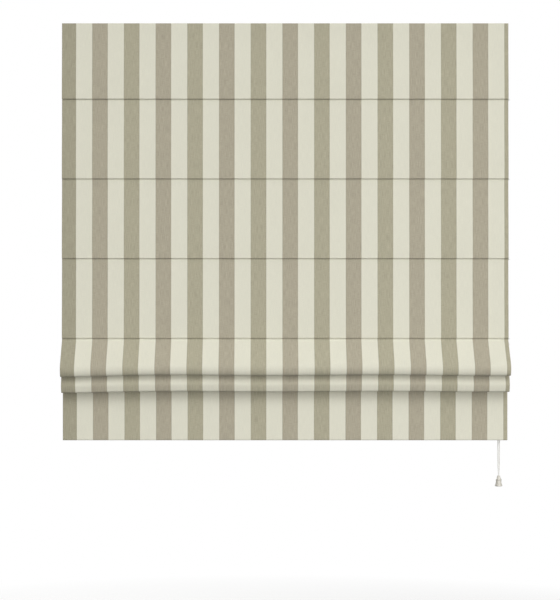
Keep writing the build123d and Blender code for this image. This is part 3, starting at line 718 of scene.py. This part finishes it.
lift_paths = [spline_points([
    (x, ring_y[5], orb_seat_z), (x, ring_y[5], rods[5][1] - near), (x, ring_y[5], rods[5][1] + 0.005),
    (x, lane, rods[3][1] - 0.005), (x, lane, rods[3][1] + near), (x, lane, cord_top_z - near),
    (x, lane, cord_top_z), (x + near, lane, cord_top_z), (pull_x - near, lane, cord_top_z),
    (pull_x, lane, cord_top_z), (pull_x, lane, cord_top_z - near), (pull_x, lane, cord_join_z),
]) for x, lane in zip(cord_x, lanes)]


def rising_part(path, low_z, high_z):
    """The part of a lift cord between two heights, below the rail."""
    rise = path[:np.argmax(path[:, 2])]
    z = np.linspace(low_z, high_z, max(3, int((high_z - low_z) / 0.012)))
    return np.stack([np.interp(z, rise[:, 2], rise[:, 0]), np.interp(z, rise[:, 2], rise[:, 1]), z], axis=1)


rail_exit_z = rail_bottom_z - 0.006     # the still part of a lift cord ends here
levels = [rail_exit_z] + [rod[1] for rod in rods]
lift_nodes = [f"lift_cord_{n}" for n in range(1, 5)]
above = [np.concatenate([rising_part(path, rail_exit_z, rail_exit_z + 0.002)[:1],
                         path[np.argmax(path[:, 2] > rail_exit_z):]]) for path in lift_paths]
made = tubes("lift_cords_in_rail", above, cord_radius, cord_yarn)
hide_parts(*lift_nodes)
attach(made, "root")
for n in range(6):
    span = [rising_part(path, levels[n + 1], levels[n]) for path in lift_paths]
    made = tubes(f"lift_cords_span_{n + 1}", span, cord_radius, cord_yarn)
    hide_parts(*lift_nodes)
    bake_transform(made)
made = tubes("lift_cords_ends", [rising_part(path, orb_seat_z, levels[6]) for path in lift_paths],
             cord_radius, cord_yarn)
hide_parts(*lift_nodes)
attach(made, bodies[6])

# The pull cords leave the lock one behind the other, spread side by side, and close up into the bell.
pull_pitch = 0.0024
bell_offset = 0.001
bell_hole_depth = 0.009
for n in range(4):
    x = pull_x + pull_pitch * (n - 1.5)
    bell_x = pull_x + bell_offset * (-1 if n < 2 else 1)
    hole_y = bell_y + bell_offset * (-1 if n % 2 == 0 else 1)
    path = spline_points([
        (pull_x, lanes[n], cord_join_z), (pull_x, lanes[n], cord_join_z - 0.040),
        (x, bell_y, cord_join_z - 0.230), (x, bell_y, bell_top_z + 0.034),
        (bell_x, hole_y, bell_top_z + 0.008), (bell_x, hole_y, bell_top_z - bell_hole_depth),
    ])
    made = tubes(f"pull_cord_run_{n + 1}", [path], cord_radius, cord_yarn)
    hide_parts(f"pull_cord_{n + 1}")
    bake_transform(made)


# Stage and light

floor_z = -2.4
floor_radius = 9.0
floor_sides = 96
fade_start = 3.04           # how far from the origin the floor begins to fade
fade_length = 1.6


def pale_floor():
    """A round floor, pale for the camera alone and darker as a reflector, so that it throws little light
    up. It fades to white away from the blind."""
    made = bpy.data.materials.new("floor")
    made.use_nodes = True
    tree = made.node_tree
    shader = tree.nodes["Principled BSDF"]
    camera_ray = add(tree, "LightPath").outputs["Is Camera Ray"]
    shade = mix(tree, camera_ray, linear(70, 70, 69), linear(240, 240, 238))
    tree.links.new(shade, shader.inputs["Base Color"])
    shader.inputs["Roughness"].default_value = 0.9
    place = add(tree, "TexCoord").outputs["Object"]
    distance = add(tree, "VectorMath", {0: place}, operation="LENGTH").outputs["Value"]
    far = maths(tree, "MULTIPLY_ADD", distance, 1 / fade_length, -fade_start / fade_length, clamp=True)
    seen = maths(tree, "MULTIPLY", far, camera_ray)
    white = add(tree, "Emission", {"Strength": 1.0})
    blended = add(tree, "MixShader", {0: seen, 1: shader.outputs[0], 2: white.outputs[0]})
    tree.links.new(blended.outputs[0], tree.nodes["Material Output"].inputs["Surface"])
    angle = np.linspace(0, 2 * pi, floor_sides + 1)[:-1]
    rim = np.stack([floor_radius * np.cos(angle), floor_radius * np.sin(angle), 0 * angle + floor_z], axis=1)
    mesh = bpy.data.meshes.new("floor")
    mesh.from_pydata(rim.tolist(), [], [list(range(floor_sides))])
    mesh.materials.append(made)
    floor = bpy.data.objects.new("floor", mesh)
    bpy.context.scene.collection.objects.link(floor)


lit_point = Vector((0, 0, -0.7))


def light(data, place):
    """A light at a place, turned to the blind's middle."""
    made = bpy.data.objects.new(data.name, data)
    made.location = place
    made.rotation_euler = (lit_point - Vector(place)).to_track_quat("-Z", "Y").to_euler()
    bpy.context.scene.collection.objects.link(made)


def lamp(name, place, size, power):
    """A soft square lamp."""
    data = bpy.data.lights.new(name, "AREA")
    data.size, data.energy = size, power
    light(data, place)


def sun(name, place, strength, spread):
    """A distant lamp as wide as spread degrees, which lights near and far alike."""
    data = bpy.data.lights.new(name, "SUN")
    data.energy, data.angle = strength, spread * pi / 180
    light(data, place)


sky_light = 0.04


def sky():
    """White for the camera and in reflections. As a light it is pale above and dim below."""
    world = bpy.data.worlds.new("studio")
    bpy.context.scene.world = world
    world.use_nodes = True
    tree = world.node_tree
    background = tree.nodes["Background"]
    up = add(tree, "SeparateXYZ", {0: add(tree, "TexCoord").outputs["Generated"]}).outputs[2]
    glow = maths(tree, "MULTIPLY_ADD", up, sky_light, sky_light)
    glow = maths(tree, "MAXIMUM", maths(tree, "MINIMUM", glow, 1.6 * sky_light), 0.08 * sky_light)
    path = add(tree, "LightPath").outputs
    seen = maths(tree, "MAXIMUM", path["Is Camera Ray"],
                 maths(tree, "MAXIMUM", path["Is Glossy Ray"], path["Is Transmission Ray"]))
    strength = add(tree, "Mix", {0: seen, 2: glow, 3: 1.0}).outputs[0]
    background.inputs["Color"].default_value = (1.0, 1.0, 1.0, 1.0)
    tree.links.new(strength, background.inputs["Strength"])


pale_floor()
sky()
sun("sun", (0.5, -2.2, 1.9), 1.0, 40)
sun("room", (0.3, -2.2, 0.1), 1.55, 70)
lamp("fill", (1.5, -4.6, -1.5), 2.0, 76)
lamp("rear", (-1.5, 3.2, 0.8), 2.4, 110)

bpy.context.scene.view_settings.view_transform = "Standard"
